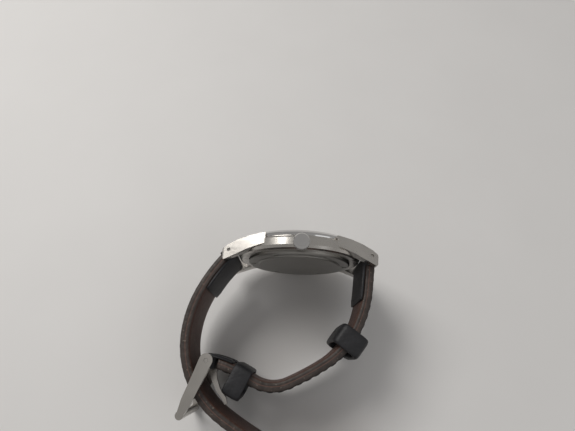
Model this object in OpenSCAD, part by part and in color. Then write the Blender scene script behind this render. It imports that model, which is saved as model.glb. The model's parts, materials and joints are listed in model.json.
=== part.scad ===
// Wristwatch on a leather strap, lying on its nine o'clock side with the strap's end passed
// through the open buckle. The head is drawn dial up: +X to three o'clock, +Y to twelve, +Z out
// of the dial, with Z = 0 on the spring bars. The strap and buckle are drawn from the side:
// X to twelve o'clock, Y out of the dial, Z out of the crown. laid() and dial_up() place both.

/* [Case] */
// Radius of the case band
case_r = 19.6; // [19:0.1:20.5]
// Height of the case band's top above the spring bars
band_top = 3.8; // [3.6:0.1:4]
// Radius of the bezel
bezel_r = 18.8; // [18.2:0.1:19.2]
// Height of the bezel's top
bezel_top = 5.9; // [5.8:0.1:6.1]
// Radius of the back cover
back_r = 16.3; // [16.1:0.1:16.6]
// Gap between two lugs, which is the strap's width
lug_gap = 20.2; // [20:0.1:20.6]
// Distance from the dial's centre to each spring bar
bar_reach = 21.4; // [21.2:0.1:21.8]
// Radius of the crown
crown_r = 2.45; // [2.2:0.05:2.6]

/* [Strap] */
// Width of the strap at the lugs
strap_w = 19.8; // [19.4:0.1:20]
// Loss of half width for each millimetre below the lugs
strap_taper = 0.02; // [0.015:0.0025:0.025]
// Thickness of the outer leather
leather_t = 1.7; // [1.5:0.1:1.8]
// Thickness of the lining leather
lining_t = 1.3; // [1.1:0.1:1.4]
// Width of each keeper along the strap
keeper_w = 6.4; // [5:0.2:7]

/* [Buckle] */
// Length of the buckle from its pin to its cross bar
buckle_len = 15.4; // [15:0.1:15.8]
// Gap between the buckle's arms
buckle_gap = 18.9; // [18.8:0.1:19.1]
// Thickness of each buckle arm
arm_t = 2.0; // [1.8:0.1:2.2]

/* [Movement] */
// Radius of the movement's main plate
plate_r = 12.9; // [12.5:0.1:12.9]
// Gear module of the going train
gear_m = 0.1; // [0.095:0.001:0.102]
// Height of the winding stem above the spring bars
stem_z = 1.4; // [1.35:0.01:1.45]

/* [Hidden] */
$fn = 96;
eps = 0.01;
fit = 0.05; // radial clearance of every running fit
steel = "#b9bab8";
polished = "#d8d8d6";
brass = "#c9a24f";
leather = "#3a2c29";
black_leather = "#17181a";

// Heights inside the head
seat_z = 2.7; // dial seat in the case
dial_z = 2.75;
dial_t = 0.35;
bore_r = 15.4;
seat_r = 16.35;
back_z = -1.3; // outer face of the back cover
lip_z = 4.2; // underside of the bezel's inner lip
glass_z = 4.75;
plate_z = 1.55;
plate_t = 0.5;
bridge_z = -0.1;
bridge_t = 0.25;
lug_t = 2.3; // a lug's width at its tip
lug_out = lug_gap / 2 + lug_t;

// Strap routes from the side: [length, turn in degrees] for each bend, from the lugs on
long_start = [-bar_reach, 0];
long_heading = -132.1;
long_bends = [[7, 8.6], [8, 10], [12, 21.4], [12, 28], [14, 31], [12, 6], [22, 26], [22, 20]];
short_start = [bar_reach, 0];
short_heading = -93.6;
short_bends = [[9, -2.1], [12, -19.6], [14, -31.8], [12, -8], [11, -55.5], [13.5, 20.6]];
long_len = 109;
short_len = 71.5;
keeper_s = 25.5; // where the free keeper rests along the short strap
loop_s = 61; // where the fixed keeper is sewn
bar_r = 0.9;
tip_r = 0.5;
loop_r = 1.9; // leather round a spring bar

// A point and heading at distance s along a route of bends
function arc_at(p, a, len, turn, s) =
  let (t = turn * s / len, r = len / (turn * PI / 180))
  p + r * [sin(a + t) - sin(a), cos(a) - cos(a + t)];
function route(p, a, bends, s, i = 0) =
  s <= bends[i][0] || i == len(bends) - 1
    ? [arc_at(p, a, bends[i][0], bends[i][1], s), a + bends[i][1] * s / bends[i][0]]
    : route(arc_at(p, a, bends[i][0], bends[i][1], bends[i][0]), a + bends[i][1], bends,
        s - bends[i][0], i + 1);
function long_at(s) = route(long_start, long_heading, long_bends, s);
function short_at(s) = route(short_start, short_heading, short_bends, s);
function at(side, s) = side > 0 ? long_at(s) : short_at(s);
// A point at distance s and offset d to the wrist side
function beside(side, s, d) =
  let (r = at(side, s)) r[0] + side * d * [-sin(r[1]), cos(r[1])];
function strip(side, s0, s1, d0, d1, n) = concat(
  [for (i = [0:n]) beside(side, s0 + (s1 - s0) * i / n, d0)],
  [for (i = [n:-1:0]) beside(side, s0 + (s1 - s0) * i / n, d1)]);

buckle_pin = short_at(short_len)[0];
buckle_tilt = -111.6; // heading of the buckle's arms from its pin
cross_bar = buckle_pin + buckle_len * [cos(buckle_tilt), sin(buckle_tilt)];
buckle_out = buckle_gap / 2 + arm_t;

// The watch rests on its case band, its buckle and its strap's end
rest_tilt = atan((case_r - buckle_out) / (2.05 - cross_bar[1]));
rest_lift = case_r * cos(rest_tilt) - 0.9 * sin(rest_tilt);
rest_shift = [0.3486, 25.7851];
module laid() translate([rest_shift[0], rest_shift[1], rest_lift]) rotate([rest_tilt, 0, 0]) children();
module dial_up() laid() rotate([0, -90, -90]) children();

module disc(r, z0, z1) translate([0, 0, z0]) cylinder(r = r, h = z1 - z0);
module ring(r1, r0, z0, z1) difference() {
  disc(r1, z0, z1);
  disc(r0, z0 - 1, z1 + 1);
}
module along_x(r, x0, x1, y = 0, z = 0)
  translate([x0, y, z]) rotate([0, 90, 0]) cylinder(r = r, h = x1 - x0);

// A lug's side outline, from (Y, Z) points, cut to its plan outline
module lug() {
  intersection() {
    translate([8, 0, 0]) rotate([90, 0, 90]) linear_extrude(12) polygon([[7, 1.6], [11, 1.7],
      [16, 0.1], [22.4, -2.75], [22.9, -2.8], [23.2, -2.5], [23.35, 0.1], [23.1, 0.6],
      [21.6, 1.7], [18.6, 3.1], [15, 4.2], [11, 4.9], [7, 5]]);
    translate([0, 0, -5]) linear_extrude(12) polygon([[lug_gap / 2, 14.2], [13.2, 10.2],
      [16.4, 10.6], [15.9, 12.6], [lug_out + 0.25, 22.9], [lug_out - 0.1, 23.6],
      [lug_gap / 2, 23.6]]);
  }
}
module lugs() for (sx = [0, 1], sy = [0, 1]) mirror([sx, 0, 0]) mirror([0, sy, 0]) lug();

module case_middle() color(steel) dial_up() difference() {
  union() {
    rotate_extrude() polygon([[14, -0.2], [18.4, -0.2], [19.1, 0.1], [case_r, 0.9],
      [case_r, 3], [19.3, 3.5], [18.9, band_top], [14, band_top]]);
    lugs();
  }
  disc(bore_r, -2, 6);
  disc(seat_r, seat_z, 8);
  disc(17.6, 3.4, 8);
  disc(bezel_r + fit, band_top, 8);
  disc(15.9, -2, 0.2);
  along_x(1.3, 10, 25, 0, stem_z);
  for (y = [-bar_reach, bar_reach]) along_x(tip_r + fit, -20, 20, y, 0);
}

module bezel() color(polished) dial_up() rotate_extrude() polygon([[15.6, lip_z],
  [17.3, lip_z], [17.3, 3.42], [17.55, 3.42], [17.55, band_top], [bezel_r - 0.1, band_top + 0.02],
  [bezel_r, 4.2], [bezel_r - 0.25, 4.9], [17.6, 5.65], [16.9, bezel_top], [16.42, bezel_top],
  [16.42, glass_z], [15.6, glass_z]]);

module crystal() color("#dfe9ee", 0.35) dial_up() {
  dome = 180;
  intersection() {
    disc(16, glass_z + eps, 7);
    translate([0, 0, 6.35 - dome]) rotate_extrude() intersection() {
      circle(dome, $fn = 720);
      translate([0, dome - 3]) square([17, 4]);
    }
  }
}
module crystal_gasket() color("#e8e4d8") dial_up() ring(16.4, 16.02, glass_z + eps, 5.6);

module dial_ring() color("#c4c4c0") dial_up() rotate_extrude() polygon([[15.0, 3.12],
  [16.3, 3.12], [16.3, 4.18], [15.7, 4.18]]);

module dial() color("#e9e7df") dial_up() difference() {
  disc(16.25, dial_z, dial_z + dial_t);
  disc(1.03, 0, 5);
}
module hour_markers() color(polished) dial_up() for (h = [1:12]) rotate([0, 0, 30 * h])
  for (x = h % 3 == 0 ? [-0.55, 0.55] : [0]) translate([x, 12.1, dial_z + dial_t + 0.11])
    cube([0.7, h % 3 == 0 ? 4.2 : 3.4, 0.2], center = true);

module hand(reach, w, tail, z, t, hub) {
  difference() {
    union() {
      translate([0, 0, z]) linear_extrude(t) polygon([[-w * 0.6, -tail], [w * 0.6, -tail],
        [w, 0], [w * 0.9, reach * 0.3], [w * 0.35, reach * 0.94], [0, reach],
        [-w * 0.35, reach * 0.94], [-w * 0.9, reach * 0.3], [-w, 0]]);
      disc(hub, z, z + t);
    }
    disc(hub * 0.62, z - 1, z + 1);
  }
}
module hour_hand() color(polished) dial_up() rotate([0, 0, 60]) hand(9, 0.75, 2.2, 3.45, 0.15, 1.55);
module minute_hand() color(polished) dial_up() rotate([0, 0, -54]) hand(13.4, 0.6, 2.6, 3.85, 0.15, 1.05);
module seconds_hand() color(polished) dial_up() rotate([0, 0, -150]) difference() {
  union() {
    translate([0, 0, 4.25]) linear_extrude(0.1) polygon([[-0.22, -4.5], [0.22, -4.5],
      [0.12, 0], [0.06, 14], [-0.06, 14], [-0.12, 0]]);
    disc(0.6, 4.25, 4.35);
  }
  disc(0.25, 4, 5);
}

module back_cover() color(steel) dial_up() difference() {
  rotate_extrude() polygon([[0, back_z], [12.7, back_z], [12.85, back_z + 0.1],
    [13.1, back_z + 0.12], [13.2, back_z + 0.27], [15.9, back_z + 0.27], [back_r, back_z + 0.6],
    [back_r, -0.22], [15.3, -0.22], [15.3, 0.45], [14.6, 0.45], [14.6, -0.45], [0, -0.45]]);
  for (a = [0:60:300]) rotate([0, 0, a + 30]) translate([14.6, 0, back_z]) cylinder(r = 0.7, h = 0.5);
}
module back_gasket() color("#202020") dial_up() ring(15.88, 15.32, -0.2, 0.18);

module movement_ring() color("#e6e3da") dial_up() difference() {
  ring(15.35, plate_r + 0.05, 0.5, seat_z);
  along_x(1.35, 8, 18, 0, stem_z);
}

// Train layout
third_xy = 36 * gear_m * [cos(200), sin(200)];
inter_xy = 35 * gear_m * [cos(290), sin(290)];
rotor_xy = inter_xy + 18 * gear_m * [cos(330), sin(330)];
minute_xy = 20 * 0.11 * [cos(110), sin(110)];
battery_xy = [-3.4, 7.2];
post_angles = [20, 150, 250];
coil_xy = [2.2, -8.6];

// Toothed wheel whose teeth start at angle a
module teeth(n, m, z, t, a) {
  r = n * m / 2;
  p = 360 / n;
  translate([0, 0, z]) linear_extrude(t) rotate(a) polygon([for (i = [0:n - 1], c =
    [[r - 1.15 * m, -0.28], [r + 0.85 * m, -0.11], [r + 0.85 * m, 0.11], [r - 1.15 * m, 0.28]])
    c[0] * [cos(p * (i + c[1])), sin(p * (i + c[1]))]]);
}

module main_plate() color(brass) dial_up() difference() {
  union() {
    disc(plate_r, plate_z, plate_z + plate_t);
    for (a = post_angles) rotate([0, 0, a]) translate([11.4, 0, 0.2]) cylinder(r = 0.9, h = 1.4);
  }
  disc(0.7, 0, 4);
  for (p = [third_xy, inter_xy, rotor_xy]) translate([p[0], p[1], 0]) cylinder(r = 0.2, h = 4);
  translate([battery_xy[0], battery_xy[1], 0]) cylinder(r = 3.95, h = 4);
  translate([5.2, -1.45, 0]) cube([9, 2.9, 4]);
  translate([coil_xy[0] - 5.6, coil_xy[1] - 1.4, 0]) cube([11.2, 2.8, 4]);
  for (a = post_angles) rotate([0, 0, a]) translate([11.4, 0, 0]) cylinder(r = 0.45, h = 2);
}
module train_bridge() color("#c8c6bf") dial_up() difference() {
  disc(12.6, bridge_z, bridge_z + bridge_t);
  translate([battery_xy[0], battery_xy[1], -2]) cylinder(r = 4.4, h = 4);
  translate([coil_xy[0] - 6, coil_xy[1] - 2, -2]) cube([12, 3.4, 4]);
  for (a = post_angles) rotate([0, 0, a]) translate([11.4, 0, -2]) cylinder(r = 0.5, h = 4);
  for (p = [[0, 0], third_xy, inter_xy, rotor_xy])
    translate([p[0], p[1], -2]) cylinder(r = 0.2, h = 4);
}
module bridge_screws() color(steel) dial_up() for (a = post_angles) rotate([0, 0, a])
  translate([11.4, 0, 0]) difference() {
    union() {
      translate([0, 0, -0.32]) cylinder(r = 0.75, h = 0.21);
      translate([0, 0, -0.12]) cylinder(r = 0.42, h = 1.5);
    }
    translate([-1, -0.1, -0.5]) cube([2, 0.2, 0.28]);
  }
module battery() color("#cfcfcc") dial_up() translate([battery_xy[0], battery_xy[1], 0]) {
  disc(3.85, -0.12, 1.7);
  disc(3.2, -0.24, -0.1);
}
module battery_strap() color(steel) dial_up() translate([battery_xy[0], battery_xy[1], 0])
  difference() {
    union() {
      translate([-4.8, -0.9, -0.38]) cube([9.6, 1.8, 0.12]);
      for (x = [-4.8, 4.45]) translate([x, -0.9, -0.38]) cube([0.35, 1.8, 0.26]);
    }
    translate([0, 0, -1]) cylinder(r = 0.5, h = 2);
  }
module circuit_board() color("#2f6b3c") dial_up() difference() {
  intersection() {
    ring(12.3, 6.4, 0.22, 0.42);
    translate([2, -13, 0]) cube([14, 11.2, 2]);
  }
  translate([coil_xy[0] - 6, coil_xy[1] - 2, -2]) cube([12, 3.4, 4]);
}
module coil() color("#b5652b") dial_up() translate([coil_xy[0], coil_xy[1], 0.85]) difference() {
  union() {
    along_x(0.95, -3.9, 3.9);
    for (x = [-4.3, 3.9]) along_x(1.15, x, x + 0.4);
  }
  along_x(0.42, -6, 6);
}
module stator() color("#9c9ca0") dial_up() difference() {
  union() {
    along_x(0.4, coil_xy[0] - 5.2, coil_xy[0] + 5.2, coil_xy[1], 0.85);
    for (x = [-5.3, 4.5]) 
      translate([coil_xy[0] + x, coil_xy[1] - 0.7, 0.7]) cube([0.8, 4.2, 0.4]);
    translate([coil_xy[0] - 5.3, coil_xy[1] + 2.4, 0.7]) cube([10.6, 2.8, 0.4]);
  }
  translate([rotor_xy[0], rotor_xy[1], 0]) cylinder(r = 0.85, h = 3);
  translate([inter_xy[0], inter_xy[1], 0.3]) cylinder(r = 0.7, h = 1);
}
module rotor() color("#6d6f74") dial_up() translate([rotor_xy[0], rotor_xy[1], 0]) {
  disc(0.12, 0.0, 1.95);
  disc(0.68, 0.5, 1.0);
  teeth(6, gear_m, 1.1, 0.35, 330 + 180);
}
module intermediate_wheel() color(brass) dial_up() translate([inter_xy[0], inter_xy[1], 0]) {
  disc(0.12, 0.0, 1.95);
  teeth(30, gear_m, 1.2, 0.15, 330 + 6);
  teeth(10, gear_m, 0.2, 0.35, 290 + 180);
}
module seconds_wheel() color(brass) dial_up() {
  disc(0.2, 0.25, 4.35);
  disc(0.12, -0.05, 0.25);
  teeth(60, gear_m, 0.3, 0.15, 290 + 3);
  teeth(8, 3.6 / 34, 0.45, 0.3, 200);
}
module third_wheel() color(brass) dial_up() translate([third_xy[0], third_xy[1], 0]) {
  disc(0.12, 0.0, 1.95);
  teeth(60, 3.6 / 34, 0.52, 0.15, 200 + 180 + 3);
  teeth(8, gear_m, 0.9, 0.4, 200 + 180);
}
module centre_wheel() color(brass) dial_up() difference() {
  union() {
    disc(0.62, 1.05, 4.0);
    teeth(64, gear_m, 1.0, 0.15, 200 + 180 / 64);
    teeth(10, 0.11, 2.1, 0.3, 110);
  }
  disc(0.26, 0, 5);
}
module minute_wheel() color(brass) dial_up() translate([minute_xy[0], minute_xy[1], 0]) {
  disc(0.25, 2.07, 2.7);
  teeth(30, 0.11, 2.14, 0.14, 290 + 6);
  teeth(8, 0.11, 2.3, 0.35, 290);
}
module hour_wheel() color(brass) dial_up() difference() {
  union() {
    disc(0.95, 2.45, 3.6);
    teeth(32, 0.11, 2.45, 0.18, 110 + 180 / 32);
  }
  disc(0.7, 2, 5);
}

module crown_tube() color(steel) dial_up() difference() {
  along_x(1.3, 15.95, 20.3, 0, stem_z);
  along_x(0.7, 12, 22, 0, stem_z);
}
module crown() color(polished) dial_up() translate([case_r + 0.25, 0, stem_z])
  rotate([0, 90, 0]) difference() {
    union() {
      cylinder(r = crown_r - 0.12, h = 1.7);
      for (a = [0:15:345]) rotate([0, 0, a]) translate([crown_r - 0.16, 0, 0.15])
        cylinder(r = 0.2, h = 1.4, $fn = 24);
      translate([0, 0, 1.69]) cylinder(r1 = crown_r - 0.12, r2 = crown_r - 0.45, h = 0.35);
      translate([0, 0, 2.03]) cylinder(r = 1.6, h = 0.12);
    }
    translate([0, 0, -1]) cylinder(r = 1.75, h = 1.95);
    translate([0, 0, 0.9]) cylinder(r = 0.45, h = 0.6);
  }
module stem() color(steel) dial_up() {
  along_x(0.6, 14.2, 19.8, 0, stem_z);
  along_x(0.44, 6.2, 21.2, 0, stem_z);
}
module crown_seal() color("#202020") dial_up() difference() {
  along_x(1.7, 19.9, 20.3, 0, stem_z);
  along_x(1.35, 19, 21, 0, stem_z);
}
module setting_lever() color(steel) dial_up() translate([0, 0, 0.9]) linear_extrude(0.25)
  polygon([[6.4, 0.6], [7, 0.6], [7.4, 1.5], [9.2, 1.5], [9.4, 4.2], [7, 4.2], [6.4, 2]]);

// Straps: a side outline carried across the width, which narrows away from the lugs
module across(w0) intersection() {
  translate([0, 0, -w0]) linear_extrude(2 * w0) children();
  rotate([90, 0, 90]) translate([0, 0, -60]) linear_extrude(120) polygon([[8, -w0], [8, w0],
    [0, w0], [-70, w0 - 70 * strap_taper], [-70, 70 * strap_taper - w0], [0, -w0]]);
}
module layer(side, s0, s1, d0, d1) laid() across(strap_w / 2)
  polygon(strip(side, s0, s1, d0, d1, round((s1 - s0) / 1.6)));

// Leather turned round a bar: a sleeve, and a flap on the wrist side
module fold(side, s, dir, hole, flap) laid() difference() {
  across(strap_w / 2 - 0.1) difference() {
    union() {
      translate(at(side, s)[0]) circle(loop_r);
      polygon(strip(side, s, s + dir * flap, lining_t + 0.02, lining_t + 0.75, 9));
      polygon(strip(side, s, s + dir * 2.4, -leather_t, lining_t + 0.75, 3));
    }
    translate(at(side, s)[0]) circle(hole);
  }
}
module long_strap_leather() color(leather) layer(1, 2.42, long_len, -leather_t, -0.01);
module long_strap_lining() color("#7a4a35") layer(1, 2.42, long_len - 0.4, 0.01, lining_t);
module long_strap_end_fold() color(black_leather) fold(1, 0, 1, bar_r + fit, 13);
module short_strap_leather() color(leather)
  layer(-1, 2.42, short_len - 2.42, -leather_t, -0.01);
module short_strap_lining() color("#7a4a35") layer(-1, 2.42, short_len - 2.42, 0.01, lining_t);
module short_strap_end_fold() color(black_leather) fold(-1, 0, 1, bar_r + fit, 13);
module short_strap_buckle_fold() color(black_leather) difference() {
  fold(-1, short_len, -1, bar_r + fit, 7);
  laid() translate([buckle_pin[0] - 4, buckle_pin[1] - 4, -1.6]) cube([6.6, 8, 3.2]);
}

// Rounded band with a rounded opening, centred on the origin
module soft_box(w, h, r) {
  square([w - 2 * r, h], center = true);
  square([w, h - 2 * r], center = true);
  for (x = [-1, 1], y = [-1, 1]) translate([x * (w / 2 - r), y * (h / 2 - r)]) circle(r, $fn = 48);
}
module band(side, s, d, w, h, t, len) laid() {
  r = at(side, s);
  translate([beside(side, s, d)[0], beside(side, s, d)[1], 0]) rotate([0, 0, r[1]])
    rotate([90, 0, 90]) translate([0, 0, -len / 2]) linear_extrude(len) difference() {
      soft_box(h + 2 * t, w + 2 * t, 1.6);
      soft_box(h, w, 0.8);
    }
}
module fixed_keeper() color(black_leather) band(-1, loop_s, -2.25, 18.9, 7.6, 1.1, 5.4);
module free_keeper() color(black_leather) band(-1, keeper_s, -0.2, 19.6, 6.4, 1.5, keeper_w);

// The buckle, drawn with its pin on the origin and its arms along +X
module buckle_place() laid() translate([buckle_pin[0], buckle_pin[1], 0])
  rotate([0, 0, buckle_tilt]) children();
module buckle_frame() color(steel) buckle_place() difference() {
  union() {
    for (z = [-buckle_out, buckle_out - arm_t]) translate([0, 0, z]) linear_extrude(arm_t) {
      circle(1.9);
      polygon([[0, -1.9], [4, -1.7], [11.5, -1.5], [buckle_len, -0.9], [buckle_len, 0.9],
        [11.5, 1.5], [4, 1.7], [0, 1.9]]);
    }
    translate([buckle_len, 0, -buckle_out]) cylinder(r = 1.15, h = 2 * buckle_out);
  }
  translate([0, 0, -20]) cylinder(r = tip_r + fit, h = 40);
}
module buckle_tongue() color(steel) laid() difference() {
  union() {
    translate([buckle_pin[0], buckle_pin[1], -1.2]) cylinder(r = 1.75, h = 2.4);
    translate([0, 0, -0.9]) linear_extrude(1.8) polygon([buckle_pin + [-1.6, -0.6],
      buckle_pin + [0.5, -5.4], buckle_pin + [2.1, -8.4], buckle_pin + [4.2, -10.8],
      buckle_pin + [4.9, -12.1], buckle_pin + [5.7, -11.9], buckle_pin + [5.2, -10.2],
      buckle_pin + [3.3, -7.9], buckle_pin + [2.0, -4.8], buckle_pin + [1.6, -0.6]]);
  }
  translate([buckle_pin[0], buckle_pin[1], -5]) cylinder(r = bar_r + fit, h = 10);
}

// Sprung bars: a tube with a lip at each end, two sliding tips, and a spring between them
module tube(half, bore = 0.65) difference() {
  along_x(bar_r, -half, half);
  along_x(bore, 0.4 - half, half - 0.4);
  along_x(tip_r + fit, -half - 1, half + 1);
}
module tip(half, reach) {
  along_x(tip_r, half - 1.5, reach);
  along_x(0.6, half - 1.5, half - 0.5);
}
module spring(len) rotate([0, 90, 0]) translate([0, 0, -len / 2])
  linear_extrude(len, twist = 2520, slices = 84, $fn = 12) translate([0.42, 0])
    circle(0.13, $fn = 6);
lug_half = lug_gap / 2 - 0.2;
lug_reach = lug_out - 0.05;
buckle_half = buckle_gap / 2 - 0.2;
buckle_reach = buckle_out - 0.15;
module on_lug(dir) dial_up() translate([0, dir * bar_reach, 0]) children();
module on_buckle() laid() translate([buckle_pin[0], buckle_pin[1], 0]) rotate([0, -90, 0])
  children();
module bar_twelve() color(steel) on_lug(1) tube(lug_half);
module bar_six() color(steel) on_lug(-1) tube(lug_half);
module bar_buckle() color(steel) on_buckle() tube(buckle_half);
module bar_springs() color(steel) for (dir = [-1, 1]) on_lug(dir) spring(11);
module buckle_bar_spring() color(steel) on_buckle() spring(10.4);
module twelve_tip_crown_side() color(steel) on_lug(1) tip(lug_half, lug_reach);
module twelve_tip_far_side() color(steel) on_lug(1) mirror([1, 0, 0]) tip(lug_half, lug_reach);
module six_tip_crown_side() color(steel) on_lug(-1) tip(lug_half, lug_reach);
module six_tip_far_side() color(steel) on_lug(-1) mirror([1, 0, 0]) tip(lug_half, lug_reach);
module buckle_tip_crown_side() color(steel) on_buckle() tip(buckle_half, buckle_reach);
module buckle_tip_far_side() color(steel) on_buckle() mirror([1, 0, 0])
  tip(buckle_half, buckle_reach);

case_middle();
bezel();
crystal();
crystal_gasket();
dial_ring();
dial();
hour_markers();
hour_hand();
minute_hand();
seconds_hand();
back_cover();
back_gasket();
movement_ring();
main_plate();
train_bridge();
bridge_screws();
battery();
battery_strap();
circuit_board();
coil();
stator();
rotor();
intermediate_wheel();
seconds_wheel();
third_wheel();
centre_wheel();
minute_wheel();
hour_wheel();
crown_tube();
crown();
stem();
crown_seal();
setting_lever();
long_strap_leather();
long_strap_lining();
long_strap_end_fold();
short_strap_leather();
short_strap_lining();
short_strap_end_fold();
short_strap_buckle_fold();
fixed_keeper();
free_keeper();
buckle_frame();
buckle_tongue();
bar_twelve();
bar_six();
bar_buckle();
bar_springs();
buckle_bar_spring();
twelve_tip_crown_side();
twelve_tip_far_side();
six_tip_crown_side();
six_tip_far_side();
buckle_tip_crown_side();
buckle_tip_far_side();
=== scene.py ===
"""A leather-strapped wristwatch lying on its side: its looks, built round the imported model."""

from __future__ import annotations

import json
import logging
import math
from dataclasses import dataclass, field
from enum import Enum
from typing import Any

import bmesh
import bpy
from mathutils import Matrix, Vector

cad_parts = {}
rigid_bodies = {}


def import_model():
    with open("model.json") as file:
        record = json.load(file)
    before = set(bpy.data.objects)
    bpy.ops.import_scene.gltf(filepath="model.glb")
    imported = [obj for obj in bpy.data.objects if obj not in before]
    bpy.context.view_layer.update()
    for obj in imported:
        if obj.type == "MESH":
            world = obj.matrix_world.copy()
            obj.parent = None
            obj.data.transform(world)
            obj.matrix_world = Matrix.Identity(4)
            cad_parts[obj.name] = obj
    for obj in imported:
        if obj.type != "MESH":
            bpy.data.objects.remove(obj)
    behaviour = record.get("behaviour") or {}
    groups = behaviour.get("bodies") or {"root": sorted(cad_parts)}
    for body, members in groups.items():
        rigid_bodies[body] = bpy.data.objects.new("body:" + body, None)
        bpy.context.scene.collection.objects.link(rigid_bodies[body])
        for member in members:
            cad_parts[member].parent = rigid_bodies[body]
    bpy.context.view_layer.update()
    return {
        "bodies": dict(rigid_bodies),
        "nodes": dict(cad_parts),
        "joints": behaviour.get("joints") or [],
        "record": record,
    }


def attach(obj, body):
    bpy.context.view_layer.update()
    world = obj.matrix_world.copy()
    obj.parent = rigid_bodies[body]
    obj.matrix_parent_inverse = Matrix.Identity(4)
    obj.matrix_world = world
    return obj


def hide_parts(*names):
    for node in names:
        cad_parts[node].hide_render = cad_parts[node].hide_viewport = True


LOG = logging.getLogger("wristwatch")
MM = 0.001
Colour = tuple[float, float, float]
Point2 = tuple[float, float]


class Side(Enum):
    """Which strap a piece belongs to; the value turns its offsets towards the wrist."""

    LONG = 1
    SHORT = -1


class Socket:
    """A shader value that takes part in Python arithmetic."""

    def __init__(self, tree: bpy.types.NodeTree, output: Any) -> None:
        """Wraps a node's output.

        Args:
            tree: the node tree that it belongs to.
            output: the output socket.
        """
        self.tree = tree
        self.output = output

    def math(self, operation: str, *others: "Socket | float") -> "Socket":
        """A Math node on this value and the others.

        Args:
            operation: the Math node's operation.
            others: further operands.

        Returns:
            The result.
        """
        node = self.tree.nodes.new("ShaderNodeMath")
        node.operation = operation
        for index, value in enumerate((self, *others)):
            if isinstance(value, Socket):
                self.tree.links.new(value.output, node.inputs[index])
            else:
                node.inputs[index].default_value = float(value)
        return Socket(self.tree, node.outputs[0])

    def __add__(self, other: "Socket | float") -> "Socket":
        """This value plus another."""
        return self.math("ADD", other)

    def __radd__(self, other: float) -> "Socket":
        """A number plus this value."""
        return self.math("ADD", other)

    def __sub__(self, other: "Socket | float") -> "Socket":
        """This value less another."""
        return self.math("SUBTRACT", other)

    def __rsub__(self, other: float) -> "Socket":
        """A number less this value."""
        return (self * -1.0) + other

    def __mul__(self, other: "Socket | float") -> "Socket":
        """This value times another."""
        return self.math("MULTIPLY", other)

    def __rmul__(self, other: float) -> "Socket":
        """A number times this value."""
        return self.math("MULTIPLY", other)

    def __truediv__(self, other: "Socket | float") -> "Socket":
        """This value divided by another."""
        return self.math("DIVIDE", other)

    def __gt__(self, other: "Socket | float") -> "Socket":
        """1 where this value is the greater, else 0."""
        return self.math("GREATER_THAN", other)

    def __lt__(self, other: "Socket | float") -> "Socket":
        """1 where this value is the smaller, else 0."""
        return self.math("LESS_THAN", other)

    def clamp(self) -> "Socket":
        """This value held between 0 and 1."""
        return self.math("MAXIMUM", 0.0).math("MINIMUM", 1.0)

    def ramp(self, low: float, high: float) -> "Socket":
        """0 at low, 1 at high, and straight between."""
        return ((self - low) / (high - low)).clamp()


class Shader:
    """One material being put together."""

    def __init__(self, name: str) -> None:
        """Starts a material.

        Args:
            name: the material's name.
        """
        self.material = bpy.data.materials.new(name)
        self.material.use_nodes = True
        self.tree = self.material.node_tree
        self.bsdf = self.tree.nodes["Principled BSDF"]

    def node(self, kind: str, settings: dict[str, Any] | None = None,
             sockets: dict[str, Any] | None = None) -> Any:
        """Any node, with its settings and input sockets.

        Args:
            kind: the node's type name.
            settings: attributes to set on it.
            sockets: input names, with a value or a Socket for each.

        Returns:
            The node.
        """
        made = self.tree.nodes.new(kind)
        for key, value in (settings or {}).items():
            setattr(made, key, value)
        for key, value in (sockets or {}).items():
            if isinstance(value, Socket):
                self.tree.links.new(value.output, made.inputs[key])
            else:
                made.inputs[key].default_value = value
        return made

    def place(self, stretch: Colour = (1, 1, 1)) -> Socket:
        """Object coordinates, stretched."""
        where = self.node("ShaderNodeTexCoord")
        scale = self.node("ShaderNodeVectorMath", {"operation": "MULTIPLY"},
                          {0: Socket(self.tree, where.outputs["Object"]), 1: stretch})
        return Socket(self.tree, scale.outputs[0])

    def noise(self, scale: float, detail: float = 3.0, stretch: Colour = (1, 1, 1)) -> Socket:
        """Soft noise in object space."""
        made = self.node("ShaderNodeTexNoise", None,
                         {"Vector": self.place(stretch), "Scale": scale, "Detail": detail})
        return Socket(self.tree, made.outputs[0])

    def cells(self, scale: float) -> Socket:
        """Distance to the nearest cell centre in object space."""
        made = self.node("ShaderNodeTexVoronoi", None, {"Vector": self.place(), "Scale": scale})
        return Socket(self.tree, made.outputs["Distance"])

    def attribute(self, name: str) -> Socket:
        """A number stored on the mesh."""
        made = self.node("ShaderNodeAttribute", {"attribute_name": name})
        return Socket(self.tree, made.outputs["Fac"])

    def mix(self, a: "Colour | Socket", b: "Colour | Socket", factor: Socket) -> Socket:
        """Colour a where factor is 0 and b where it is 1."""
        made = self.node("ShaderNodeMix", {"data_type": "RGBA"}, {0: factor})
        for index, value in ((6, a), (7, b)):
            if isinstance(value, Socket):
                self.tree.links.new(value.output, made.inputs[index])
            else:
                made.inputs[index].default_value = (*value, 1.0)
        return Socket(self.tree, made.outputs[2])

    def drive(self, name: str, value: Socket) -> None:
        """Links a varying value into the surface's socket of that name."""
        self.tree.links.new(value.output, self.bsdf.inputs[name])

    def bump(self, height: Socket, depth_mm: float, strength: float = 1.0) -> None:
        """Raises the surface by height times a depth."""
        made = self.node("ShaderNodeBump", None, {"Height": height, "Strength": strength,
                                                  "Distance": depth_mm * MM})
        self.drive("Normal", Socket(self.tree, made.outputs[0]))


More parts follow.
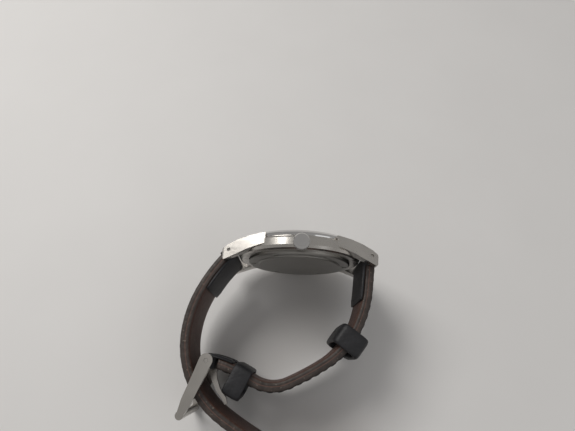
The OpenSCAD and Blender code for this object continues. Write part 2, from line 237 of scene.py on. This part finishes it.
@dataclass(frozen=True)
class Metal:
    """A metal finish: satin grain, or polished when the grain is low."""

    name: str
    colour: Colour
    rough: float
    grain: float = 0.06
    stretch: Colour = (1.0, 1.0, 1.0)

    def build(self) -> bpy.types.Material:
        """The material."""
        shader = Shader(self.name)
        shader.bsdf.inputs["Metallic"].default_value = 1.0
        grain = shader.noise(900.0, 4.0, self.stretch)
        smear = shader.noise(90.0, 3.0)
        tone = tuple(c * 0.86 for c in self.colour)
        shader.drive("Base Color", shader.mix(tone, self.colour, smear.ramp(0.35, 0.65)))
        shader.drive("Roughness", (smear - 0.5) * 0.16 + (grain - 0.5) * self.grain + self.rough)
        shader.bump(grain, 0.012 * self.grain / 0.06, 0.5)
        return shader.material


@dataclass(frozen=True)
class Plain:
    """Plastic, rubber, paint or board, with a faint mottle."""

    name: str
    colour: Colour
    rough: float
    metallic: float = 0.0

    def build(self) -> bpy.types.Material:
        """The material."""
        shader = Shader(self.name)
        shader.bsdf.inputs["Metallic"].default_value = self.metallic
        mottle = shader.noise(400.0)
        tone = tuple(c * 0.92 for c in self.colour)
        shader.drive("Base Color", shader.mix(tone, self.colour, mottle))
        shader.drive("Roughness", (mottle - 0.5) * 0.1 + self.rough)
        return shader.material


@dataclass(frozen=True)
class Glass:
    """The clear crystal."""

    name: str = "crystal_glass"

    def build(self) -> bpy.types.Material:
        """The material."""
        shader = Shader(self.name)
        shader.bsdf.inputs["Transmission Weight"].default_value = 1.0
        shader.bsdf.inputs["Roughness"].default_value = 0.01
        shader.bsdf.inputs["IOR"].default_value = 1.5
        shader.bsdf.inputs["Base Color"].default_value = (0.96, 0.98, 0.99, 1)
        return shader.material


@dataclass(frozen=True)
class Leather:
    """Strap leather: grained face, cut edge in layers, and lining, told apart by mesh attributes."""

    name: str
    face: Colour
    edge: Colour
    lining: Colour
    grain_scale: float = 1500.0
    hole_first: float = 1000.0
    hole_pitch: float = 6.0
    hole_r: float = 0.95

    def build(self) -> bpy.types.Material:
        """The material."""
        shader = Shader(self.name)
        depth = shader.attribute("depth")
        rim = shader.attribute("rim")
        along = shader.attribute("along")
        across = shader.attribute("across")
        patches = shader.noise(160.0, 5.0)
        specks = shader.noise(1400.0, 4.0)
        pores = shader.cells(self.grain_scale)
        worn_face = shader.mix(self.face, tuple(c * 2.3 + 0.012 for c in self.face),
                               patches.ramp(0.48, 0.8))
        fuzzy = shader.mix(tuple(c * 0.7 for c in self.lining),
                           tuple(c * 1.35 for c in self.lining), specks.ramp(0.3, 0.7))
        body = shader.mix(worn_face, fuzzy, depth.ramp(0.9, 1.05))
        layered = shader.mix(tuple(c * 0.55 for c in self.edge), self.edge,
                             shader.noise(500.0, 6.0).ramp(0.35, 0.62))
        seam = (depth.math("ABSOLUTE") < 0.1) * 0.55
        layered = shader.mix(layered, (0.16, 0.07, 0.05), seam)
        layered = shader.mix(layered, (0.30, 0.26, 0.21), specks.ramp(0.64, 0.74) * 0.5)
        colour = shader.mix(body, layered, rim.ramp(0.35, 0.6))
        step = (along - self.hole_first) / self.hole_pitch
        off = (step - step.math("ROUND")) * self.hole_pitch
        far = (off * off + across * across).math("SQRT")
        # Buckle holes: near-black discs on the face and lining, painted shade standing in for the dark
        # inside each hole.
        hole_shade_mask = (far < self.hole_r) * (step > -0.5) * (step < 6.5)
        colour = shader.mix(colour, (0.004, 0.003, 0.003), hole_shade_mask)
        shader.drive("Base Color", colour)
        shader.drive("Roughness", (patches - 0.5) * 0.25 + 0.56)
        height = pores * 0.6 + specks * 0.5 - (far.ramp(self.hole_r - 0.15, self.hole_r) * -1.0
                                               + 1.0) * 2.0 * (step > -0.5) * (step < 6.5)
        shader.bump(height, 0.16, 0.6)
        return shader.material


@dataclass
class Lie:
    """How the watch lies: its own axes in the row frame, read from the joints."""

    origin: Vector = field(default_factory=Vector)
    twelve: Vector = field(default_factory=lambda: Vector((1, 0, 0)))
    dial: Vector = field(default_factory=lambda: Vector((0, 1, 0)))
    crown: Vector = field(default_factory=lambda: Vector((0, 0, 1)))

    @classmethod
    def read(cls, frame: dict[str, Any]) -> "Lie":
        """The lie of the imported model.


        Returns:
            The lie.
        """
        joints = {joint["name"]: joint for joint in frame["record"]["behaviour"]["joints"]}
        dial = Vector(joints["hour_turn"]["axis"]).normalized()
        crown = Vector(joints["crown_pull"]["axis"]).normalized()
        return cls(Vector(joints["hour_turn"]["pos_m"]), dial.cross(crown), dial, crown)

    def turn(self, x: float, y: float, z: float) -> Vector:
        """A direction given towards twelve, out of the dial, and out of the crown."""
        return self.twelve * x + self.dial * y + self.crown * z

    def point(self, x: float, y: float, z: float) -> Vector:
        """A point given the same way, in millimetres from the hands' axis."""
        return self.origin + self.turn(x, y, z) * MM


@dataclass(frozen=True)
class Route:
    """A strap's middle line seen from the crown's side, as bends of (length, turn)."""

    side: Side
    start: Point2
    heading: float
    bends: tuple[tuple[float, float], ...]
    length: float

    def at(self, s: float) -> tuple[float, float, float]:
        """The point and heading in radians at distance s."""
        x, y = self.start
        heading = math.radians(self.heading)
        left = s
        for index, (length, turn) in enumerate(self.bends):
            step = left if index == len(self.bends) - 1 else min(left, length)
            radius = length / math.radians(turn)
            new = heading + step / radius
            x += radius * (math.sin(new) - math.sin(heading))
            y += radius * (math.cos(heading) - math.cos(new))
            heading = new
            left -= step
            if left <= 0:
                break
        return x, y, heading

    def beside(self, s: float, d: float) -> Point2:
        """The point at distance s, offset by d towards the wrist."""
        x, y, heading = self.at(s)
        d *= self.side.value
        return x - d * math.sin(heading), y + d * math.cos(heading)


LONG = Route(Side.LONG, (-21.4, 0.0), -132.1, ((7, 8.6), (8, 10), (12, 21.4), (12, 28), (14, 31),
                                              (12, 6), (22, 26), (22, 20)), 109.0)
SHORT = Route(Side.SHORT, (21.4, 0.0), -93.6, ((9, -2.1), (12, -19.6), (14, -31.8), (12, -8),
                                               (11, -55.5), (13.5, 20.6)), 71.5)


class MeshMaker:
    """Collects vertices, faces and per-vertex numbers, and makes one object of them."""

    def __init__(self) -> None:
        """Starts empty."""
        self.points: list[Vector] = []
        self.faces: list[tuple[int, ...]] = []
        self.values: dict[str, list[float]] = {}

    def add(self, point: Vector, **values: float) -> int:
        """Adds a vertex with its numbers.

        Args:
            point: its place in the row frame.
            values: numbers kept on it.

        Returns:
            Its index.
        """
        self.points.append(point)
        for key, value in values.items():
            self.values.setdefault(key, []).append(value)
        return len(self.points) - 1

    def skin(self, rings: list[list[int]], loop: bool = False) -> None:
        """Joins closed rings of vertices in order, capping the ends unless they form a loop."""
        count = len(rings[0])
        pairs = list(zip(rings, rings[1:] + ([rings[0]] if loop else [])))
        for a, b in pairs:
            for i in range(count):
                j = (i + 1) % count
                self.faces.append((a[i], a[j], b[j], b[i]))
        if not loop:
            self.faces.append(tuple(reversed(rings[0])))
            self.faces.append(tuple(rings[-1]))

    def make(self, name: str, material: bpy.types.Material) -> bpy.types.Object:
        """The finished object, with faces outwards.

        Args:
            name: the object's name.
            material: what it is made of.

        Returns:
            The object.
        """
        mesh = bpy.data.meshes.new(name)
        mesh.from_pydata([tuple(p) for p in self.points], [], self.faces)
        for key, values in self.values.items():
            mesh.attributes.new(key, "FLOAT", "POINT").data.foreach_set("value", values)
        work = bmesh.new()
        work.from_mesh(mesh)
        bmesh.ops.recalc_face_normals(work, faces=work.faces)
        work.to_mesh(mesh)
        work.free()
        mesh.polygons.foreach_set("use_smooth", [True] * len(mesh.polygons))
        mesh.materials.append(material)
        made = bpy.data.objects.new(name, mesh)
        bpy.context.scene.collection.objects.link(made)
        return made


@dataclass
class Stitcher:
    """Rows of thread stitches, laid by geometry nodes on points that carry a direction."""

    length_mm: float = 1.9
    thick_mm: float = 0.42
    seed: int = 7
    group: bpy.types.NodeTree | None = None

    def build(self) -> None:
        """Makes the node group: a rounded stitch on every point, turned along it."""
        tree = bpy.data.node_groups.new("stitches", "GeometryNodeTree")
        face = tree.interface
        face.new_socket("Geometry", in_out="INPUT", socket_type="NodeSocketGeometry")
        for name, kind in (("Length", "NodeSocketFloat"), ("Thickness", "NodeSocketFloat"),
                           ("Seed", "NodeSocketInt"), ("Thread", "NodeSocketMaterial")):
            face.new_socket(name, in_out="INPUT", socket_type=kind)
        face.new_socket("Geometry", in_out="OUTPUT", socket_type="NodeSocketGeometry")
        new, link = tree.nodes.new, tree.links.new
        source, sink = new("NodeGroupInput"), new("NodeGroupOutput")
        ball = new("GeometryNodeMeshUVSphere")
        ball.inputs["Segments"].default_value = 10
        ball.inputs["Rings"].default_value = 8
        ball.inputs["Radius"].default_value = 0.5
        size = new("ShaderNodeCombineXYZ")
        link(source.outputs["Thickness"], size.inputs["X"])
        link(source.outputs["Thickness"], size.inputs["Y"])
        link(source.outputs["Length"], size.inputs["Z"])
        shape = new("GeometryNodeTransform")
        link(ball.outputs["Mesh"], shape.inputs["Geometry"])
        link(size.outputs[0], shape.inputs["Scale"])
        way = new("GeometryNodeInputNamedAttribute")
        way.data_type = "FLOAT_VECTOR"
        way.inputs["Name"].default_value = "way"
        turn = new("FunctionNodeAlignRotationToVector")
        turn.axis = "Z"
        link(way.outputs["Attribute"], turn.inputs["Vector"])
        vary = new("FunctionNodeRandomValue")
        vary.data_type = "FLOAT"
        vary.inputs[2].default_value = 0.88
        vary.inputs[3].default_value = 1.08
        link(source.outputs["Seed"], vary.inputs["Seed"])
        lay = new("GeometryNodeInstanceOnPoints")
        link(source.outputs["Geometry"], lay.inputs["Points"])
        link(shape.outputs["Geometry"], lay.inputs["Instance"])
        link(turn.outputs["Rotation"], lay.inputs["Rotation"])
        link(vary.outputs[1], lay.inputs["Scale"])
        real, dress = new("GeometryNodeRealizeInstances"), new("GeometryNodeSetMaterial")
        link(lay.outputs["Instances"], real.inputs["Geometry"])
        link(real.outputs["Geometry"], dress.inputs["Geometry"])
        link(source.outputs["Thread"], dress.inputs["Material"])
        link(dress.outputs["Geometry"], sink.inputs[0])
        self.group = tree

    def sew(self, name: str, points: list[Vector], ways: list[Vector],
            thread: bpy.types.Material) -> bpy.types.Object:
        """Stitches at the points, baked to a plain mesh.

        Args:
            name: the object's name.
            points: where each stitch goes.
            ways: the direction each stitch runs.
            thread: its material.

        Returns:
            The object.
        """
        mesh = bpy.data.meshes.new(name + "_points")
        mesh.from_pydata([tuple(p) for p in points], [], [])
        flat = [number for way in ways for number in way]
        mesh.attributes.new("way", "FLOAT_VECTOR", "POINT").data.foreach_set("vector", flat)
        holder = bpy.data.objects.new(name + "_points", mesh)
        bpy.context.scene.collection.objects.link(holder)
        modifier = holder.modifiers.new("stitches", "NODES")
        modifier.node_group = self.group
        values = {"Length": self.length_mm * MM, "Thickness": self.thick_mm * MM,
                  "Seed": self.seed, "Thread": thread}
        for item in self.group.interface.items_tree:
            if item.in_out == "INPUT" and item.name in values:
                modifier[item.identifier] = values[item.name]
        shown = holder.evaluated_get(bpy.context.evaluated_depsgraph_get())
        baked = bpy.data.meshes.new_from_object(shown)
        bpy.data.objects.remove(holder)
        baked.name = name
        baked.polygons.foreach_set("use_smooth", [True] * len(baked.polygons))
        made = bpy.data.objects.new(name, baked)
        bpy.context.scene.collection.objects.link(made)
        return made


@dataclass
class Strap:
    """One strap: two leathers glued together, stitched along both edges."""

    name: str
    body: str
    route: Route
    lie: Lie
    start: float = 2.1
    end: float = 109.0
    tip: float = 0.0
    half_mm: float = 9.9
    taper: float = 0.02
    outer_mm: float = 1.7
    inner_mm: float = 1.3
    pitch_mm: float = 2.7
    step_mm: float = 0.45

    def half(self, s: float) -> float:
        """Half the strap's width at distance s."""
        width = self.half_mm + self.taper * self.route.at(s)[1]
        if self.tip and s > self.end - self.tip:
            t = (s - self.end + self.tip) / self.tip
            width *= math.sqrt(max(0.04, 1 - t * t))
        return width

    def profile(self, s: float) -> list[tuple[float, float, float]]:
        """The cross-section at s as (across, depth, rim) points going round."""
        half = self.half(s) - 0.05
        wave = 0.5 + 0.5 * math.cos(2 * math.pi * s / self.pitch_mm)
        lift = 0.22 * wave
        out = []
        steps = 14
        for i in range(steps + 1):
            u = -1 + 2 * i / steps
            groove = math.exp(-((abs(u) * half - half + 1.5) / 0.5) ** 2) * lift
            crown = 0.22 * (abs(u) ** 4) + groove
            out.append((u * (half - 0.45), -self.outer_mm + crown, 0.0))
        for j in range(1, 8):
            t = j / 8
            depth = -self.outer_mm + 0.25 + t * (self.outer_mm + self.inner_mm - 0.4)
            bulge = 0.45 * math.sin(math.pi * t) ** 0.35
            pinch = 0.14 * math.exp(-(depth / 0.22) ** 2)
            nick = 0.07 * wave
            out.append((half - 0.45 + bulge - pinch - nick, depth, 1.0))
        for i in range(steps + 1):
            u = 1 - 2 * i / steps
            out.append((u * (half - 0.45), self.inner_mm - 0.12 * abs(u) ** 6, 0.0))
        for j in range(1, 8):
            t = 1 - j / 8
            depth = -self.outer_mm + 0.25 + t * (self.outer_mm + self.inner_mm - 0.4)
            bulge = 0.45 * math.sin(math.pi * t) ** 0.35
            pinch = 0.14 * math.exp(-(depth / 0.22) ** 2)
            out.append((-(half - 0.45 + bulge - pinch - 0.07 * wave), depth, 1.0))
        return out

    def place(self, s: float, across: float, depth: float) -> Vector:
        """A strap point in the row frame."""
        x, y = self.route.beside(s, depth)
        return self.lie.point(x, y, across)

    def build(self, leather: bpy.types.Material, *stands_for: str) -> bpy.types.Object:
        """The strap's skin.

        Args:
            leather: the leather.
            stands_for: CAD nodes that it takes the place of.

        Returns:
            The object.
        """
        maker = MeshMaker()
        rings = []
        count = round((self.end - self.start) / self.step_mm)
        for k in range(count + 1):
            s = self.start + (self.end - self.start) * k / count
            rings.append([maker.add(self.place(s, a, d), along=s, across=a, depth=d, rim=r)
                          for a, d, r in self.profile(s)])
        maker.skin(rings)
        made = maker.make(self.name, leather)
        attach(made, self.body)
        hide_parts(*stands_for)
        LOG.info("strap %s: %d faces", self.name, len(made.data.polygons))
        return made

    def stitch(self, stitcher: Stitcher, thread: bpy.types.Material) -> bpy.types.Object:
        """Both rows of stitches on the outer face.

        Args:
            stitcher: lays the stitches.
            thread: the thread's material.

        Returns:
            The object.
        """
        points, ways = [], []
        s = self.start + 1.4
        stop = self.end - self.tip - 1.2
        while s < stop:
            for sign in (-1, 1):
                across = sign * (self.half(s) - 1.5)
                points.append(self.place(s, across, -self.outer_mm + 0.16))
                ways.append(self.place(s + 0.5, across, 0) - self.place(s - 0.5, across, 0))
            s += self.pitch_mm
        made = stitcher.sew(self.name + "_stitches", points, ways, thread)
        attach(made, self.body)
        LOG.info("%s: %d stitches", made.name, len(points))
        return made


@dataclass
class Fold:
    """The strap's end turned round a bar and laid back along the wrist side."""

    name: str
    body: str
    strap: Strap
    s: float
    way: int
    flap: float
    slot_mm: float = 0.0
    sleeve_r: float = 1.92
    skin_mm: float = 0.75
    end_shrink: float = 0.985

    def outline(self) -> list[Point2]:
        """The fold's outline from the crown's side, going round."""
        route, inner = self.strap.route, self.strap.inner_mm
        x, y, heading = route.at(self.s)
        back = heading + (math.pi if self.way > 0 else 0.0)
        side = route.side.value
        out: list[Point2] = []
        for i in range(9):
            s = self.s + self.way * (2.2 - 2.2 * i / 8)
            out.append(route.beside(s, -self.sleeve_r))
        for i in range(1, 16):
            t = math.pi * i / 16
            ux = math.cos(back) * math.sin(t)
            uy = math.sin(back) * math.sin(t)
            nx, ny = math.sin(heading) * side, -math.cos(heading) * side
            out.append((x + self.sleeve_r * (ux + nx * math.cos(t)),
                        y + self.sleeve_r * (uy + ny * math.cos(t))))
        steps = 14
        for i in range(steps + 1):
            s = self.s + self.way * self.flap * i / steps
            fade = 1.0 if i < steps - 1 else 0.55 + 0.25 * (steps - i)
            out.append(route.beside(s, inner + 0.02 + self.skin_mm * fade))
        for i in range(steps + 1):
            s = self.s + self.way * (self.flap - (self.flap - 2.2) * i / steps)
            out.append(route.beside(s, inner + 0.01))
        return out

    def build(self, leather: bpy.types.Material, node: str) -> bpy.types.Object:
        """The fold's skin, in two halves where a tongue needs a slot.

        Args:
            leather: the leather.
            node: the CAD node that it takes the place of.

        Returns:
            The object.
        """
        maker = MeshMaker()
        outline = self.outline()
        bar_x, bar_y, _ = self.strap.route.at(self.s)
        half = self.strap.half(self.s + self.way * 2) - 0.1
        if self.slot_mm:
            spans = [(-half, -self.slot_mm), (self.slot_mm, half)]
        else:
            spans = [(-half, half)]
        for low, high in spans:
            rings = []
            for edge, shrink in ((low, self.end_shrink), (low + 0.3, 1.0), (0.5 * (low + high), 1.0),
                                 (high - 0.3, 1.0), (high, self.end_shrink)):
                ring = []
                for x, y in outline:
                    x = bar_x + (x - bar_x) * shrink
                    y = bar_y + (y - bar_y) * shrink
                    ring.append(maker.add(self.strap.lie.point(x, y, edge), along=0.0,
                                          across=edge, depth=-1.0, rim=0.0))
                rings.append(ring)
            maker.skin(rings)
        made = maker.make(self.name, leather)
        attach(made, self.body)
        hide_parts(node)
        LOG.info("fold %s built", self.name)
        return made


@dataclass
class Keeper:
    """A leather loop round the strap, bulging like folded leather."""

    name: str
    body: str
    strap: Strap
    s: float
    offset: float
    wide: float
    high: float
    thick: float
    length: float
    squareness: float = 6.5

    def build(self, leather: bpy.types.Material, node: str) -> bpy.types.Object:
        """The loop's skin.

        Args:
            leather: the leather.
            node: the CAD node that it takes the place of.

        Returns:
            The object.
        """
        maker = MeshMaker()
        x, y = self.strap.route.beside(self.s, self.offset)
        heading = self.strap.route.at(self.s)[2]
        rings = []
        around = 96
        power = 2 / self.squareness
        for k in range(around):
            angle = 2 * math.pi * k / around
            c, s = math.cos(angle), math.sin(angle)
            ring = []
            for i in range(20):
                t = 2 * math.pi * i / 20
                out = 0.5 * self.thick * (1 + math.copysign(abs(math.cos(t)) ** 0.7, math.cos(t)))
                run = 0.5 * self.length * math.copysign(abs(math.sin(t)) ** 0.45, math.sin(t))
                a = self.high / 2 + out
                b = self.wide / 2 + out
                u = a * math.copysign(abs(c) ** power, c)
                w = b * math.copysign(abs(s) ** power, s)
                px = x - u * math.sin(heading) + run * math.cos(heading)
                py = y + u * math.cos(heading) + run * math.sin(heading)
                ring.append(maker.add(self.strap.lie.point(px, py, w), along=0.0, across=w,
                                      depth=-1.0, rim=0.0))
            rings.append(ring)
        maker.skin(rings, loop=True)
        made = maker.make(self.name, leather)
        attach(made, self.body)
        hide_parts(node)
        LOG.info("keeper %s built", self.name)
        return made


@dataclass
class Head:
    """The case, movement, dial, buckle metal and bars, which keep their own shapes."""

    finishes: dict[str, bpy.types.Material] = field(default_factory=dict)

    def stock(self) -> None:
        """Builds every finish, one for each material slot."""
        steel = (0.60, 0.575, 0.54)
        for finish in (
            Metal("case_steel", steel, 0.27, 0.1, (0.15, 1.0, 1.0)),
            Metal("polished_steel", (0.72, 0.71, 0.70), 0.08, 0.02),
            Metal("satin_steel", (0.40, 0.39, 0.37), 0.36, 0.1),
            Metal("hand_steel", (0.75, 0.75, 0.75), 0.12, 0.02),
            Metal("brass_parts", (0.72, 0.52, 0.24), 0.25),
            Metal("plated_bridge", (0.68, 0.66, 0.62), 0.28),
            Metal("magnet_steel", (0.30, 0.30, 0.32), 0.45),
            Metal("coil_wire", (0.62, 0.28, 0.11), 0.3),
            Metal("buckle_steel", (0.62, 0.59, 0.55), 0.22, 0.1, (1.0, 1.0, 0.15)),
            Plain("white_plastic", (0.84, 0.83, 0.78), 0.5),
            Plain("black_rubber", (0.015, 0.015, 0.015), 0.6),
            Plain("dial_paint", (0.80, 0.79, 0.75), 0.35, 0.3),
            Plain("board_plastic", (0.05, 0.20, 0.09), 0.5),
            Glass(),
        ):
            self.finishes[finish.name] = finish.build()

    def dress(self, frame: dict[str, Any], kept: set[str]) -> None:
        """Puts each slot's finish on the CAD nodes that show.

        Args:
            kept: the nodes that drawn pieces don't replace.
        """
        for part in frame["record"]["subparts"]:
            if part["node"] in kept:
                node = frame["nodes"][part["node"]]
                node.data.materials.clear()
                node.data.materials.append(self.finishes[part["material_slot"]])


@dataclass
class Studio:
    """Pale floor, soft light and the camera."""

    lie: Lie
    lens_mm: float = 27.05
    eye: Colour = (-3.7, -30.7, 138.4)
    look: Colour = (-0.005, 0.319, -0.948)
    down: Colour = (0.044, -0.947, -0.319)

    def floor(self) -> None:
        """The surface under the watch."""
        shader = Shader("table")
        soft = shader.noise(30.0)
        shader.drive("Base Color", shader.mix((0.70, 0.69, 0.68), (0.74, 0.73, 0.72), soft))
        shader.bsdf.inputs["Roughness"].default_value = 0.6
        bpy.ops.mesh.primitive_plane_add(size=3.0, location=(0, 0, -0.0002))
        table = bpy.context.active_object
        table.name = "table"
        table.data.materials.append(shader.material)

    def lamp(self, name: str, place: Colour, size: float, watts: float, tint: Colour) -> None:
        """A soft square light aimed at the watch.

        Args:
            name: the light's name.
            place: where it stands, in metres.
            size: its side.
            watts: its power.
            tint: its colour.
        """
        data = bpy.data.lights.new(name, "AREA")
        data.size = size
        data.energy = watts
        data.color = tint
        made = bpy.data.objects.new(name, data)
        made.location = place
        aim = Vector((0, 0, 0.02)) - Vector(place)
        made.rotation_euler = aim.to_track_quat("-Z", "Y").to_euler()
        bpy.context.scene.collection.objects.link(made)

    def light(self) -> None:
        """The lights and the pale surround."""
        self.lamp("key", (-0.35, 0.30, 0.55), 0.35, 2.6, (1.0, 0.98, 0.95))
        self.lamp("fill", (0.5, -0.35, 0.5), 0.5, 0.5, (0.95, 0.97, 1.0))
        world = bpy.data.worlds.new("surround")
        world.use_nodes = True
        bpy.context.scene.world = world
        tree = world.node_tree
        back = tree.nodes["Background"]
        back.inputs["Color"].default_value = (0.62, 0.61, 0.60, 1)
        back.inputs["Strength"].default_value = 0.55
        pale = tree.nodes.new("ShaderNodeBackground")
        pale.inputs["Color"].default_value = (0.62, 0.61, 0.59, 1)
        pale.inputs["Strength"].default_value = 1.0
        ray = tree.nodes.new("ShaderNodeLightPath")
        mix = tree.nodes.new("ShaderNodeMixShader")
        tree.links.new(ray.outputs["Is Camera Ray"], mix.inputs[0])
        tree.links.new(back.outputs[0], mix.inputs[1])
        tree.links.new(pale.outputs[0], mix.inputs[2])
        tree.links.new(mix.outputs[0], tree.nodes["World Output"].inputs[0])

    def camera(self) -> None:
        """The camera, looking into the loop from beyond the crown."""
        data = bpy.data.cameras.new("camera")
        data.lens = self.lens_mm
        data.sensor_width = 36.0
        data.dof.use_dof = False
        data.clip_start = 0.001
        made = bpy.data.objects.new("camera", data)
        back = -self.lie.turn(*self.look).normalized()
        up = -self.lie.turn(*self.down)
        right = up.cross(back).normalized()
        up = back.cross(right)
        place = self.lie.point(*self.eye)
        made.matrix_world = Matrix.Translation(place) @ Matrix((right, up, back)).transposed().to_4x4()
        bpy.context.scene.collection.objects.link(made)
        bpy.context.scene.camera = made
        bpy.context.scene.view_settings.view_transform = "Standard"


def build_leather(lie: Lie) -> set[str]:
    """Builds the straps, folds, keepers and stitches.

    Args:
        lie: how the watch lies.

    Returns:
        The CAD nodes that they stand for.
    """
    face, edge, lining = (0.016, 0.012, 0.011), (0.050, 0.036, 0.030), (0.075, 0.036, 0.026)
    dark = (0.012, 0.012, 0.014)
    holed = Leather("strap_leather", face, edge, lining, hole_first=66.0).build()
    whole = Leather("short_strap_leather", face, edge, lining).build()
    black = Leather("black_leather", (0.007, 0.007, 0.009), dark, dark,
                    grain_scale=1200.0).build()
    thread = Plain("thread", (0.02, 0.018, 0.018), 0.7).build()
    stitcher = Stitcher()
    stitcher.build()
    long = Strap("long_strap_skin", "long_strap", LONG, lie, end=109.0, tip=9.0)
    short = Strap("short_strap_skin", "short_strap", SHORT, lie, end=68.4)
    long.build(holed, "long_strap_leather", "long_strap_lining")
    long.stitch(stitcher, thread)
    short.build(whole, "short_strap_leather", "short_strap_lining")
    short.stitch(stitcher, thread)
    folds = {
        "long_strap_end_fold": Fold("long_fold", "long_strap", long, 0.0, 1, 13.0),
        "short_strap_end_fold": Fold("short_fold", "short_strap", short, 0.0, 1, 13.0),
        "short_strap_buckle_fold": Fold("buckle_fold", "short_strap", short, SHORT.length, -1,
                                        7.0, slot_mm=1.6),
    }
    keepers = {
        "free_keeper": Keeper("free_loop", "free_keeper", short, s=25.5, offset=-0.2, wide=19.6,
                              high=6.4, thick=1.5, length=6.4),
        "fixed_keeper": Keeper("fixed_loop", "short_strap", short, s=61.0, offset=-2.3,
                               wide=18.9, high=7.4, thick=1.1, length=5.4),
    }
    for node, piece in {**folds, **keepers}.items():
        piece.build(black, node)
    layers = {"long_strap_leather", "long_strap_lining", "short_strap_leather",
              "short_strap_lining"}
    return layers | set(folds) | set(keepers)


def main() -> None:
    """Builds the watch's looks, piece by piece."""
    logging.basicConfig(level=logging.INFO)
    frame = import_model()
    lie = Lie.read(frame)
    head = Head()
    head.stock()
    gone = build_leather(lie)
    head.dress(frame, set(frame["nodes"]) - gone)
    LOG.info("dressed %d metal and movement pieces", len(frame["nodes"]) - len(gone))
    studio = Studio(lie)
    studio.floor()
    studio.light()
    studio.camera()


if __name__ == "__main__":
    main()
